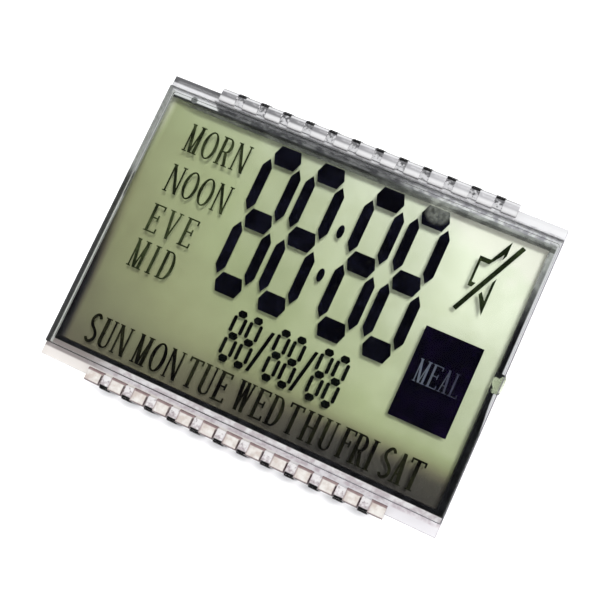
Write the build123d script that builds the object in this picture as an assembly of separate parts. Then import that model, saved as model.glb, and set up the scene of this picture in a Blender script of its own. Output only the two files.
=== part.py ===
from build123d import *
import os

# Reflective segment display cell: two glass sheets with the liquid crystal between
# them, clip-on pins along both long edges, resin over the pins.
# Millimetres. X runs along the long side, Y towards the upper edge of the writing,
# Z out of the face. The origin is midway between the pin tips, in the plane they
# stand on.

# Pins
pin_pitch = 2.54
pins_per_row = 12
row_shift = 0.3            # both rows sit this far right of the middle of the rear glass
leg_length = 3.6           # from the underside of the glass to the tip
pin_strip = 0.25           # thickness of the sheet metal
pin_head_width = 1.0
leg_width = 0.5
leg_tip_width = 0.24
leg_tip_length = 0.35
shoulder_drop = 1.2        # underside of the glass to where the head starts to narrow
bend_radius = 0.2          # inside of the bend over the glass edge
prong_reach = 0.7          # upper prong on the glass, measured in from its edge
tongue_reach = 0.75        # lower tongue under the glass
tongue_width = 0.4
tongue_root_drop = 0.9     # underside of the glass to the root of the tongue
window_clearance = 0.05    # between the tongue and the window it was cut from
wall_clearance = 0.45      # edge of the glass to the upright wall of the pin

# Glass: its length and width come from the artwork and the margins around it
rear_thickness = 1.1
front_thickness = 1.1
contact_ledge = 1.35       # rear glass left bare along each long edge
left_step = 0.35           # rear glass showing at the left; the right edges are flush
glass_bevel = 0.08

# Films
polarizer_thickness = 0.2
film_set_back_left = 0.775   # front film, in from the edges of the front glass
film_set_back_right = 0.175
film_set_back_rows = 0.6     # along the two pin rows
film_corner = 0.3
rear_film_set_back_left = 0.1    # both rear films, in from the left edge of the rear glass
rear_film_set_back_right = 0.2
rear_film_set_back_rows = 0.2    # in from the edges of the front glass
reflector_thickness = 0.15

# Cell
cell_gap = 0.1
segment_thickness = 0.05
seal_set_back = 0.15       # from the edge of the front glass
seal_row_width = 1.1       # beside the pin rows
seal_side_width = 0.8      # at the short edges
seal_inner_corner = 0.8
fill_port_width = 2.0
fill_port_y = -0.4
dab_reach = 0.25           # dab of sealant left outside, over the edges of both sheets
dab_height = 1.0
dot_radius = 0.35          # conductive transfer dot
dot_inset_left = 2.675     # its centre, in from the edges of the front glass
dot_inset_top = 0.4

# Resin over the pins
resin_overrun_left = 2.2   # past the middle of the first pin
resin_overrun_right = 2.0  # past the middle of the last pin
resin_inner_edge = 0.9     # on the ledge, in from the edge of the rear glass
resin_outer_edge = 0.55    # outside the edge of the rear glass
resin_height = 0.55        # above the ledge
resin_slope = 0.35         # run of the inner slope
resin_round = 0.35
dip_width = 0.9            # the resin sinks between its bulges, over each pin
dip_cover = 0.07           # resin left on the prong there

# Artwork: places are measured from the middle of the rear glass, and the clear
# margins run from the outermost pieces of it to the seal
margin_left = 2.05
margin_right = 1.8
margin_top = 0.12
margin_bottom = 0.35

# Large figures
big_gap = 0.69                      # above the date figures
big_level_pitch = 7.0               # between the three level segments
big_pair_middles = (-4.31, 6.9)
big_figure_pitch = 4.78
big_level = (1.46, 1.05, 1.03)      # half length, half flat, half height
big_upright = (2.86, 2.0, 0.53)     # half length, half flat, half width
big_upright_offset = 1.6
colon_dot = (0.34, 0.7)             # half width, half height
colon_spread = 2.35                 # from the middle to each dot
colon_drop = 0.15                   # below the middle of the figures

# Date figures
date_gap = 0.72                     # above the weekday words
date_level_pitch = 2.33
date_pair_middles = (-3.22, 1.5, 6.13)
date_figure_pitch = 1.7
date_level = (0.5, 0.29, 0.35)
date_upright = (0.86, 0.75, 0.18)
date_upright_offset = 0.53
slash_height = 4.4
slash_lean = 0.88
slash_width = 0.36
slash_shift = -0.08                 # from halfway between two pairs
slash_drop = 0.32                   # below the middle of the figures

# Words
caps_height = 3.0
thick_stroke = 0.28
thin_stroke = 0.14
legend_weight = 1.1        # the weekday words are bolder than the time-of-day words
weekday_weight = 1.3
serif_reach = 0.16
serif_height = 0.12
legend_left = -17.3
legend_lines = (                    # height of the base line, and width
    ("morning_legend", "MORN", 8.75, 6.95),
    ("noon_legend", "NOON", 4.18, 6.95),
    ("evening_legend", "EVE", -0.3, 5.2),
    ("midnight_legend", "MID", -4.2, 4.7),
)
weekday_left = -18.0
weekday_base_y = -12.8
weekday_words = (                   # gap before the word, and its width
    ("sunday_legend", "SUN", 0, 4.65),
    ("monday_legend", "MON", 0.75, 5.15),
    ("tuesday_legend", "TUE", 0.5, 4.7),
    ("wednesday_legend", "WED", 0.8, 5.05),
    ("thursday_legend", "THU", 0.4, 5.15),
    ("friday_legend", "FRI", 0.55, 3.6),
    ("saturday_legend", "SAT", 0.7, 4.05),
)

# Meal block
block_left = 12.7
block_right = 18.6
block_bottom = -7.1
block_top = 2.06
block_word_set_back_left = 0.8      # word, in from the edges of the block
block_word_set_back_right = 0.6
block_word_raise = 3.8
block_caps_height = 2.3

# Mute symbol
horn_left = 14.65
horn_neck = 15.75
horn_mouth = 16.97
horn_box_top = 10.28
horn_box_bottom = 7.15
horn_mouth_top = 12.65
horn_mouth_bottom = 4.9
horn_upright_line = 0.25
horn_level_line = 0.48
strike_bottom = (14.4, 4.6)
strike_top = (18.2, 12.5)
strike_width = 0.46
strike_clearance = 0.28

# Levels, from the pin tips up
rear_bottom = leg_length
ledge = rear_bottom + rear_thickness
front_bottom = ledge + cell_gap
front_top = front_bottom + front_thickness

# Rows of the artwork, from the weekday words up
date_half_height = date_level_pitch + date_level[2]
big_half_height = big_level_pitch + big_level[2]
date_middle_y = weekday_base_y + caps_height + date_gap + date_half_height
big_middle_y = date_middle_y + date_half_height + big_gap + big_half_height

# Reach of the artwork each way
artwork_left = min(weekday_left, legend_left)
weekday_right = weekday_left + sum(gap + width for name, text, gap, width in weekday_words)
artwork_right = max(weekday_right, block_right, strike_top[0] + strike_width / 2)
artwork_top = max(big_middle_y + big_half_height, horn_mouth_top, strike_top[1])
artwork_bottom = min(weekday_base_y, block_bottom)

# Outlines that several pieces share
reach_x = max(left_step + margin_left - artwork_left, artwork_right + margin_right)
reach_y = max(artwork_top + margin_top, margin_bottom - artwork_bottom)
rear_half_x = reach_x + seal_side_width + seal_set_back
rear_half_y = reach_y + seal_row_width + seal_set_back + contact_ledge
front_half_x = rear_half_x - left_step / 2
front_middle_x = left_step / 2
front_half_y = rear_half_y - contact_ledge
seal_half_x = front_half_x - seal_set_back
seal_half_y = front_half_y - seal_set_back
cell_half_x = seal_half_x - seal_side_width
cell_half_y = seal_half_y - seal_row_width

nodes = {}


def add_node(name, shape):
    nodes[name] = shape


# Glass sheets: cut plates with the sharp edges taken off
def sheet(middle_x, half_x, half_y, bottom, thickness):
    plate = Pos(middle_x, 0, bottom) * Box(
        2 * half_x, 2 * half_y, thickness, align=(Align.CENTER, Align.CENTER, Align.MIN)
    )
    return chamfer(plate.edges(), glass_bevel)


add_node("rear_glass", sheet(0, rear_half_x, rear_half_y, rear_bottom, rear_thickness))
add_node("front_glass", sheet(front_middle_x, front_half_x, front_half_y, front_bottom, front_thickness))


# Films: the front polarizer, and the rear polarizer with the reflector behind it
def film(middle_x, half_x, half_y, bottom, thickness):
    outline = Pos(middle_x, 0, bottom) * RectangleRounded(2 * half_x, 2 * half_y, film_corner)
    return extrude(outline, amount=thickness)


rear_film_half_x = rear_half_x - (rear_film_set_back_left + rear_film_set_back_right) / 2
rear_film_half_y = front_half_y - rear_film_set_back_rows
rear_film_middle_x = (rear_film_set_back_left - rear_film_set_back_right) / 2
rear_film_bottom = rear_bottom - polarizer_thickness
reflector_bottom = rear_film_bottom - reflector_thickness
front_film_half_x = front_half_x - (film_set_back_left + film_set_back_right) / 2
front_film_half_y = front_half_y - film_set_back_rows
front_film_middle_x = front_middle_x + (film_set_back_left - film_set_back_right) / 2
front_film_sizes = (front_film_half_x, front_film_half_y, front_top, polarizer_thickness)
rear_film_sizes = (rear_film_half_x, rear_film_half_y, rear_film_bottom, polarizer_thickness)
reflector_sizes = (rear_film_half_x, rear_film_half_y, reflector_bottom, reflector_thickness)
add_node("front_polarizer", film(front_film_middle_x, *front_film_sizes))
add_node("rear_polarizer", film(rear_film_middle_x, *rear_film_sizes))
add_node("reflector_film", film(rear_film_middle_x, *reflector_sizes))


# Perimeter seal, with a gap for filling and a pocket for the transfer dot
cell_place = Pos(front_middle_x, 0, ledge)
cell_outline = RectangleRounded(2 * cell_half_x, 2 * cell_half_y, seal_inner_corner)
port_length = front_half_x - cell_half_x
port_place = Pos(cell_half_x + port_length / 2, fill_port_y, 0)
port_outline = port_place * Rectangle(port_length, fill_port_width)
dot_place = Pos(dot_inset_left - front_half_x, front_half_y - dot_inset_top, 0)
dot_outline = dot_place * Circle(dot_radius)
seal_outline = Rectangle(2 * seal_half_x, 2 * seal_half_y) - cell_outline - port_outline - dot_outline
add_node("perimeter_seal", extrude(cell_place * seal_outline, amount=cell_gap))
add_node("transfer_dot", extrude(cell_place * dot_outline, amount=cell_gap))

# End seal: sealant drawn into the port, with a dab left over the edges outside
dab_outline = Ellipse(dab_reach, fill_port_width / 2)
dab_outline &= Pos(dab_reach / 2, 0, 0) * Rectangle(dab_reach, fill_port_width)
dab_bottom = (cell_gap - dab_height) / 2
dab = extrude(Pos(front_half_x, fill_port_y, dab_bottom) * dab_outline, amount=dab_height)
add_node("end_seal_plug", cell_place * (extrude(port_outline, amount=cell_gap) + dab))

# Liquid crystal over the patterned electrodes, out to the seal
crystal_place = cell_place * Pos(0, 0, segment_thickness)
crystal_depth = cell_gap - segment_thickness
add_node("liquid_crystal_film", extrude(crystal_place * cell_outline, amount=crystal_depth))


# Segments lie on the rear glass
def printed(outlines):
    sketch = Pos(0, 0, ledge) * (Sketch() + outlines)
    return extrude(sketch, amount=segment_thickness, dir=(0, 0, 1))


def level_segment(x, y, half_length, half_flat, half_height):
    points = [
        (x - half_length, y),
        (x - half_flat, y + half_height),
        (x + half_flat, y + half_height),
        (x + half_length, y),
        (x + half_flat, y - half_height),
        (x - half_flat, y - half_height),
    ]
    return Polygon(*points, align=None)


def upright_segment(x, y, half_length, half_flat, half_width):
    points = [
        (x, y + half_length),
        (x + half_width, y + half_flat),
        (x + half_width, y - half_flat),
        (x, y - half_length),
        (x - half_width, y - half_flat),
        (x - half_width, y + half_flat),
    ]
    return Polygon(*points, align=None)


def figure(x, y, level_pitch, level, upright, offset):
    outlines = [level_segment(x, y + row * level_pitch, *level) for row in (-1, 0, 1)]
    for side in (-1, 1):
        for half in (-0.5, 0.5):
            outlines.append(upright_segment(x + side * offset, y + half * level_pitch, *upright))
    return outlines


# Time: four large figures and a colon
def big_figure(x):
    return figure(x, big_middle_y, big_level_pitch, big_level, big_upright, big_upright_offset)


for unit, middle in zip(("hour", "minute"), big_pair_middles):
    add_node(unit + "_tens_digit", printed(big_figure(middle - big_figure_pitch / 2)))
    add_node(unit + "_units_digit", printed(big_figure(middle + big_figure_pitch / 2)))

colon_x = sum(big_pair_middles) / 2
colon_y = big_middle_y - colon_drop
colon_dots = [Pos(colon_x, colon_y + side * colon_spread, 0) * Ellipse(*colon_dot) for side in (-1, 1)]
add_node("time_colon", printed(colon_dots))


# Date: three pairs of small figures with a slash between pairs
def date_pair(middle):
    outlines = []
    for side in (-0.5, 0.5):
        outlines += figure(
            middle + side * date_figure_pitch,
            date_middle_y,
            date_level_pitch,
            date_level,
            date_upright,
            date_upright_offset,
        )
    return outlines


def leaning_bar(low, high, width):
    # A straight stroke from low to high whose ends are cut level
    half = width / 2
    points = [
        (low[0] - half, low[1]),
        (low[0] + half, low[1]),
        (high[0] + half, high[1]),
        (high[0] - half, high[1]),
    ]
    return Polygon(*points, align=None)


def slash_between(left, right):
    x = (left + right) / 2 + slash_shift
    y = date_middle_y - slash_drop
    low = (x - slash_lean / 2, y - slash_height / 2)
    high = (x + slash_lean / 2, y + slash_height / 2)
    return leaning_bar(low, high, slash_width)


for unit, middle in zip(("day", "month", "year"), date_pair_middles):
    add_node(unit + "_figures", printed(date_pair(middle)))

slashes = [slash_between(a, b) for a, b in zip(date_pair_middles, date_pair_middles[1:])]
add_node("date_slashes", printed(slashes))


# Lettering: narrow capitals with thick and thin strokes and flat serifs. Heights
# are shares of the capital height; widths are in millimetres at caps_height.
letter_widths = {
    "A": 1.25, "D": 1.45, "E": 1.35, "F": 1.25, "H": 1.6, "I": 0.75, "L": 1.2, "M": 1.6,
    "N": 1.6, "O": 1.55, "R": 1.5, "S": 1.2, "T": 1.5, "U": 1.45, "V": 1.5, "W": 1.75,
}
tick_length = 0.17


class Pen:
    """Draws the strokes of one letter whose lower left corner is at (x, y)."""

    def __init__(self, letter, x, y, height, weight):
        self.size = height / caps_height
        self.thick = weight * thick_stroke
        self.thin = weight * thin_stroke
        self.x = x
        self.y = y
        self.height = height
        self.width = letter_widths[letter]
        self.outlines = []

    def place(self, across, up):
        return (self.x + across * self.size, self.y + up * self.height)

    def stroke(self, foot_x, foot_y, head_x, head_y, width):
        bar = leaning_bar(self.place(foot_x, foot_y), self.place(head_x, head_y), width * self.size)
        self.outlines.append(bar)

    def level(self, left, right, up):
        # Thin level stroke; up is 0 on the base line and 1 at the top
        thin = self.thin * self.size
        low = self.y + up * (self.height - thin)
        middle = self.x + (left + right) / 2 * self.size
        bar = Rectangle((right - left) * self.size, thin, align=(Align.CENTER, Align.MIN))
        self.outlines.append(Pos(middle, low, 0) * bar)

    def serif(self, across, up, stroke_width):
        length = (stroke_width + 2 * serif_reach) * self.size
        thickness = serif_height * self.size
        low = self.y + up * (self.height - thickness)
        bar = Rectangle(length, thickness, align=(Align.CENTER, Align.MIN))
        self.outlines.append(Pos(self.x + across * self.size, low, 0) * bar)

    def stem(self, across, stroke_width, serifs=(0, 1)):
        self.stroke(across, 0, across, 1, stroke_width)
        for up in serifs:
            self.serif(across, up, stroke_width)

    def tick(self, across, up, length):
        # Short upright mark at the end of an arm; length is a share of the height
        self.stroke(across, up, across, up + length, self.thin)

    def bowl(self, left, right, low, high, side):
        # Half of a ring between left and right: thick at the side, thin elsewhere
        flat = right if side < 0 else left
        reach_x = (right - left) * self.size
        reach_y = (high - low) / 2 * self.height
        inner_x = reach_x - self.thick * self.size
        inner_y = reach_y - self.thin * self.size
        ring = Ellipse(reach_x, reach_y) - Ellipse(inner_x, inner_y)
        ring &= Pos(side * reach_x / 2, 0, 0) * Rectangle(reach_x, 2 * reach_y)
        middle = self.place(flat, (low + high) / 2)
        self.outlines.append(Pos(middle[0], middle[1], 0) * ring)

    def cup(self, left, right, depth):
        # Curve that joins a thick left stem to a thin right one; depth is a share
        # of the height
        reach_x = (right - left) / 2 * self.size
        reach_y = depth * self.height
        thick = self.thick * self.size
        thin = self.thin * self.size
        hollow = Pos((thick - thin) / 2, 0, 0) * Ellipse(reach_x - (thick + thin) / 2, reach_y - thin)
        ring = Ellipse(reach_x, reach_y) - hollow
        ring &= Pos(0, -reach_y / 2, 0) * Rectangle(2 * reach_x, reach_y)
        middle = self.place((left + right) / 2, depth)
        self.outlines.append(Pos(middle[0], middle[1], 0) * ring)


def draw_letter(letter, x, y, height, weight):
    pen = Pen(letter, x, y, height, weight)
    thick = pen.thick
    thin = pen.thin
    wide = pen.width
    thick_foot = thick / 2 + serif_reach
    thin_foot = thin / 2 + serif_reach
    left = thick_foot
    right = wide - thick_foot
    if letter == "A":
        pen.stroke(thin_foot, 0, wide / 2, 1, thin)
        pen.stroke(right, 0, wide / 2, 1, thick)
        pen.level(thin_foot + serif_reach, right, 0.3)
        pen.serif(thin_foot, 0, thin)
        pen.serif(right, 0, thick)
    elif letter == "D":
        pen.stem(left, thick)
        pen.level(left, wide / 2, 0)
        pen.level(left, wide / 2, 1)
        pen.bowl(wide / 2, wide, 0, 1, 1)
    elif letter in "EFL":
        pen.stem(left, thick)
        end = wide - thin / 2
        if letter in "EL":
            pen.level(left, wide, 0)
            pen.tick(end, 0, tick_length)
        if letter in "EF":
            pen.level(left, wide, 1)
            pen.tick(end, 1 - tick_length, tick_length)
            pen.level(left, wide * 0.75, 0.52)
            pen.tick(wide * 0.75, 0.42, 0.22)
    elif letter == "H":
        pen.stem(left, thick)
        pen.stem(right, thick)
        pen.level(left, right, 0.5)
    elif letter == "I":
        pen.stem(wide / 2, thick)
    elif letter == "M":
        pen.stem(thin_foot, thin)
        pen.stem(right, thick)
        pen.stroke(wide / 2, 0, thin_foot, 1, thick)
        pen.stroke(wide / 2, 0, right, 1, thin)
    elif letter == "N":
        pen.stem(thin_foot, thin)
        pen.stem(wide - thin_foot, thin, serifs=(1,))
        pen.stroke(wide - thin_foot, 0, thin_foot, 1, thick)
    elif letter == "O":
        pen.bowl(0, wide / 2, 0, 1, -1)
        pen.bowl(wide / 2, wide, 0, 1, 1)
    elif letter == "R":
        pen.stem(left, thick)
        pen.level(left, wide / 2, 1)
        pen.level(left, wide / 2, 0.48)
        pen.bowl(wide / 2, wide * 0.88, 0.455, 1, 1)
        pen.stroke(right, 0, wide * 0.52, 0.5, thick)
        pen.serif(right, 0, thick)
    elif letter == "S":
        # One curved stroke from the upper right end to the lower left end
        middles = [
            (0.93, 0.86), (0.6, 0.97), (0.2, 0.8), (0.28, 0.62),
            (0.9, 0.4), (1.02, 0.18), (0.6, 0.03), (0.2, 0.14),
        ]
        path = Spline(*[pen.place(wide / 1.2 * a, b) for a, b in middles])
        pen.outlines.append(trace(path, line_width=0.8 * thick * pen.size))
    elif letter == "T":
        pen.stem(wide / 2, thick, serifs=(0,))
        pen.level(0, wide, 1)
        pen.tick(thin / 2, 1 - tick_length, tick_length)
        pen.tick(wide - thin / 2, 1 - tick_length, tick_length)
    elif letter == "U":
        depth = 0.2
        inner_left = left - thick / 2
        inner_right = wide - thin_foot + thin / 2
        pen.stroke(left, depth, left, 1, thick)
        pen.stroke(wide - thin_foot, depth, wide - thin_foot, 1, thin)
        pen.serif(left, 1, thick)
        pen.serif(wide - thin_foot, 1, thin)
        pen.cup(inner_left, inner_right, depth)
    elif letter == "V":
        pen.stroke(wide / 2, 0, left, 1, thick)
        pen.stroke(wide / 2, 0, wide - thin_foot, 1, thin)
        pen.serif(left, 1, thick)
        pen.serif(wide - thin_foot, 1, thin)
    elif letter == "W":
        pen.stroke(wide * 0.33, 0, left, 1, thick)
        pen.stroke(wide * 0.33, 0, wide * 0.52, 1, thin)
        pen.stroke(wide * 0.68, 0, wide * 0.52, 1, thick)
        pen.stroke(wide * 0.68, 0, wide - thin_foot, 1, thin)
        pen.serif(left, 1, thick)
        pen.serif(wide - thin_foot, 1, thin)
    return pen.outlines


def draw_word(text, left, width, base_y, weight, height=caps_height):
    # The letters keep their own widths, and the gaps take up the rest of the word
    size = height / caps_height
    natural_width = sum(letter_widths[letter] for letter in text) * size
    gap = (width - natural_width) / (len(text) - 1)
    outlines = []
    x = left
    for letter in text:
        outlines += draw_letter(letter, x, base_y, height, weight)
        x += letter_widths[letter] * size + gap
    return outlines


for name, text, base_y, width in legend_lines:
    add_node(name, printed(draw_word(text, legend_left, width, base_y, legend_weight)))

word_left = weekday_left
for name, text, gap, width in weekday_words:
    word_left += gap
    add_node(name, printed(draw_word(text, word_left, width, weekday_base_y, weekday_weight)))
    word_left += width

# Meal block: a dark field with its word left clear
block_word_left = block_left + block_word_set_back_left
block_word_width = block_right - block_word_set_back_right - block_word_left
block_word_base = block_bottom + block_word_raise
block_word = draw_word("MEAL", block_word_left, block_word_width, block_word_base, 1, block_caps_height)
block_middle = Pos((block_left + block_right) / 2, (block_bottom + block_top) / 2, 0)
block_field = block_middle * Rectangle(block_right - block_left, block_top - block_bottom)
add_node("meal_block", printed([block_field - (Sketch() + block_word)]))

# Mute symbol: a horn in outline with a bar struck through it
horn_outer = Polygon(
    (horn_left, horn_box_top),
    (horn_neck, horn_box_top),
    (horn_mouth, horn_mouth_top),
    (horn_mouth, horn_mouth_bottom),
    (horn_neck, horn_box_bottom),
    (horn_left, horn_box_bottom),
    align=None,
)
slope_top = (horn_mouth_top - horn_box_top) / (horn_mouth - horn_neck)
slope_bottom = (horn_box_bottom - horn_mouth_bottom) / (horn_mouth - horn_neck)
inner_left = horn_left + horn_upright_line
inner_mouth = horn_mouth - horn_upright_line
inner_top = horn_box_top - horn_level_line
inner_bottom = horn_box_bottom + horn_level_line
slanted_line = 2 * horn_level_line
horn_inner = Polygon(
    (inner_left, inner_top),
    (horn_neck, inner_top),
    (inner_mouth, horn_box_top + slope_top * (inner_mouth - horn_neck) - slanted_line),
    (inner_mouth, horn_box_bottom - slope_bottom * (inner_mouth - horn_neck) + slanted_line),
    (horn_neck, inner_bottom),
    (inner_left, inner_bottom),
    align=None,
)
strike_line = Line(strike_bottom, strike_top)
strike_bar = trace(strike_line, line_width=strike_width)
strike_room = trace(strike_line, line_width=strike_width + 2 * strike_clearance)
add_node("mute_symbol", printed([horn_outer - horn_inner - strike_room, strike_bar]))


# Pin: one stamped strip, bent over the edge of the glass, with a tongue cut from
# its upright wall and bent in under the glass. Made for the upper row.
wall_middle = rear_half_y + wall_clearance + pin_strip / 2
prong_middle_z = ledge + pin_strip / 2
tongue_middle_z = rear_bottom - pin_strip / 2
middle_bend = bend_radius + pin_strip / 2


def strip_solid(y_z_points, width, radius):
    side = trace(FilletPolyline(*y_z_points, radius=radius), line_width=pin_strip)
    return extrude(Plane.YZ * side, amount=width / 2, both=True)


def make_pin():
    prong_tip = rear_half_y - prong_reach
    strip = strip_solid(
        [(prong_tip, prong_middle_z), (wall_middle, prong_middle_z), (wall_middle, 0)],
        pin_head_width,
        middle_bend,
    )
    # Front outline of the stamping: head, shoulders, leg and tapered tip
    head = pin_head_width / 2
    leg = leg_width / 2
    tip = leg_tip_width / 2
    shoulder = rear_bottom - shoulder_drop
    head_top = ledge + pin_strip
    half_outline = [(head, head_top), (head, shoulder), (leg, shoulder - (head - leg))]
    half_outline += [(leg, leg_tip_length), (tip, 0)]
    outline = half_outline + [(-x, z) for x, z in reversed(half_outline)]
    stamping = extrude(Plane.XZ * Polygon(*outline, align=None), amount=wall_middle + pin_strip, both=True)
    strip &= stamping
    # Tongue and the window that it leaves
    tongue_root = rear_bottom - tongue_root_drop
    tongue = strip_solid(
        [
            (wall_middle, tongue_root),
            (wall_middle, tongue_middle_z),
            (rear_half_y - tongue_reach, tongue_middle_z),
        ],
        tongue_width,
        middle_bend,
    )
    tongue_run = (tongue_middle_z - tongue_root) + (wall_middle - rear_half_y + tongue_reach)
    window_height = min(tongue_run, ledge - bend_radius - tongue_root)
    window = Pos(0, wall_middle, tongue_root) * Box(
        tongue_width + 2 * window_clearance,
        2 * pin_strip,
        window_height,
        align=(Align.CENTER, Align.CENTER, Align.MIN),
    )
    return strip - window + tongue


upper_pin = make_pin()
pin_xs = [row_shift + (i - (pins_per_row - 1) / 2) * pin_pitch for i in range(pins_per_row)]
lower_pin = mirror(upper_pin, about=Plane.XZ)
for number, x in enumerate(pin_xs, start=1):
    add_node(f"upper_pin_{number:02d}", Pos(x, 0, 0) * upper_pin)
    add_node(f"lower_pin_{number:02d}", Pos(x, 0, 0) * lower_pin)


# Resin bead over each row: laid on the ledge, run down outside the edge of the
# glass, and lower over each pin than between pins
def make_resin():
    inner = rear_half_y - resin_inner_edge
    outer = rear_half_y + resin_outer_edge
    top = ledge + resin_height
    left = pin_xs[0] - resin_overrun_left
    right = pin_xs[-1] + resin_overrun_right
    section = Polygon(
        (inner, ledge),
        (inner + resin_slope, top),
        (outer, top),
        (outer, rear_bottom),
        (rear_half_y, rear_bottom),
        (rear_half_y, ledge),
        align=None,
    )
    outer_top = section.vertices().sort_by_distance((outer, top, 0))[0]
    inner_top = section.vertices().sort_by_distance((inner + resin_slope, top, 0))[0]
    section = fillet([outer_top, inner_top], resin_round)
    bead = Pos(left, 0, 0) * extrude(Plane.YZ * section, amount=right - left, dir=(1, 0, 0))
    dip_floor = ledge + pin_strip + dip_cover
    for x in pin_xs:
        dip = Pos(x, (inner + outer) / 2, dip_floor) * Box(
            dip_width,
            2 * (outer - inner),
            resin_height,
            align=(Align.CENTER, Align.CENTER, Align.MIN),
        )
        bead -= dip
        bead -= Pos(x, 0, 0) * upper_pin
    return bead


upper_resin = make_resin()
add_node("upper_resin_bead", upper_resin)
add_node("lower_resin_bead", mirror(upper_resin, about=Plane.XZ))

os.makedirs("parts", exist_ok=True)
for name, shape in nodes.items():
    shape.label = name
    export_step(shape, f"parts/{name}.step")
print(len(nodes), "nodes written")
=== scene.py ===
from math import cos, radians, sin

import bpy
from mathutils import Matrix, Vector


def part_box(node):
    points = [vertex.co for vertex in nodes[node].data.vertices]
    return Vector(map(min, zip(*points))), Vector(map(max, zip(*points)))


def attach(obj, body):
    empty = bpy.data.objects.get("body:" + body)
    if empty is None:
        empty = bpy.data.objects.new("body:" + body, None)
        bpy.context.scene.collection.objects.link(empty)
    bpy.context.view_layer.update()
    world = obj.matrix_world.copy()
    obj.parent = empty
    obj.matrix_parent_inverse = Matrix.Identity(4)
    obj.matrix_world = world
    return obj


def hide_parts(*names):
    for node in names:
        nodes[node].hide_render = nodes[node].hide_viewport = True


# A bare liquid crystal display cell, dressed piece by piece from its back to its face.
# Meshes are in metres. Materials read a place in millimetres: across and up the face
# from the middle of the two pin rows, and outwards from the floor.
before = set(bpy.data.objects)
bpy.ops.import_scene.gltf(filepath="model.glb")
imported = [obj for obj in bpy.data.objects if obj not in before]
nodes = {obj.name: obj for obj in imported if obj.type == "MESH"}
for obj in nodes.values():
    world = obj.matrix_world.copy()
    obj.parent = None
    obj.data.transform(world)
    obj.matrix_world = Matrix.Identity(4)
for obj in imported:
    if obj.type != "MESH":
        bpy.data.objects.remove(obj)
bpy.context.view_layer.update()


# Reflector
# A foil behind the cell, satin like pearl paper on its face and silver on its back. All
# the light on the face comes from it, so it carries the green tone of the whole display,
# with painted light and shade over it: pale at the upper right, olive at the left,
# painted shade along the lower edge and down the lower left side, and painted light in
# the upper left corner and along the top.
mm = 0.001


def new_material(name):
    material = bpy.data.materials.new(name)
    material.use_nodes = True
    material.node_tree.nodes.clear()
    return material, material.node_tree


def add_node(tree, kind, inputs, **settings):
    """A node whose inputs are values or the outputs of other nodes."""
    made = tree.nodes.new(kind)
    for name, value in settings.items():
        setattr(made, name, value)
    for name, value in inputs.items():
        if isinstance(value, bpy.types.NodeSocket):
            tree.links.new(value, made.inputs[name])
        else:
            made.inputs[name].default_value = value
    return made


def maths(tree, operation, *values):
    inputs = dict(enumerate(values))
    return add_node(tree, "ShaderNodeMath", inputs, operation=operation).outputs[0]


def times(tree, first, second):
    return maths(tree, "MULTIPLY", first, second)


def without(tree, share):
    """What a share leaves over."""
    return maths(tree, "SUBTRACT", 1.0, share)


def rise(tree, value, start, end, low=0.0, high=1.0):
    """Low before start and high after end, with a smooth change between them."""
    inputs = {"Value": value, "From Min": start, "From Max": end, "To Min": low, "To Max": high}
    kind = "ShaderNodeMapRange"
    return add_node(tree, kind, inputs, interpolation_type="SMOOTHSTEP").outputs[0]


def place(tree):
    """The point in millimetres, as one vector and as its three parts."""
    point = add_node(tree, "ShaderNodeTexCoord", {}).outputs["Object"]
    inputs = {0: point, "Scale": 1 / mm}
    scaled = add_node(tree, "ShaderNodeVectorMath", inputs, operation="SCALE")
    parts = add_node(tree, "ShaderNodeSeparateXYZ", {0: scaled.outputs[0]})
    return scaled.outputs[0], parts.outputs[0], parts.outputs[1], parts.outputs[2]


def paint(red, green, blue):
    """A screen colour, with 255 for white, as the light that it stands for."""
    return tuple((c / 255) ** 2.2 for c in (red, green, blue)) + (1.0,)


def mix_colours(tree, factor, first, second):
    inputs = {"Factor": factor, 6: first, 7: second}
    return add_node(tree, "ShaderNodeMix", inputs, data_type="RGBA").outputs[2]


def ramp(tree, value, stops):
    made = add_node(tree, "ShaderNodeValToRGB", {"Fac": value})
    for _ in stops[2:]:
        made.color_ramp.elements.new(0.5)
    for element, (position, colour) in zip(made.color_ramp.elements, stops):
        element.position = position
        element.color = colour
    return made.outputs[0]


def noise(tree, point, scale, detail=2.0):
    inputs = {"Vector": point, "Scale": scale, "Detail": detail}
    return add_node(tree, "ShaderNodeTexNoise", inputs).outputs["Fac"]


def dents(tree, height, strength, depth):
    """A bumpy normal, with the depth of its dents in metres."""
    inputs = {"Height": height, "Strength": strength, "Distance": depth}
    return add_node(tree, "ShaderNodeBump", inputs).outputs[0]


def upright(tree):
    """How far the surface faces up: 1 on top, 0 at the sides and -1 underneath."""
    normal = add_node(tree, "ShaderNodeTexCoord", {}).outputs["Normal"]
    return add_node(tree, "ShaderNodeSeparateXYZ", {0: normal}).outputs[2]


def finish_material(tree, shader):
    add_node(tree, "ShaderNodeOutputMaterial", {"Surface": shader.outputs[0]})


def wear(piece, material):
    piece.data.materials.clear()
    piece.data.materials.append(material)


def dress(names, material):
    for name in names:
        wear(nodes[name], material)


full_light = 2.0
light_inside = 1.7


def as_lit(red, green, blue, light=full_light):
    """The paint that looks like this screen colour under the studio's light."""
    return tuple(c / light for c in paint(red, green, blue)[:3]) + (1.0,)


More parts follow.
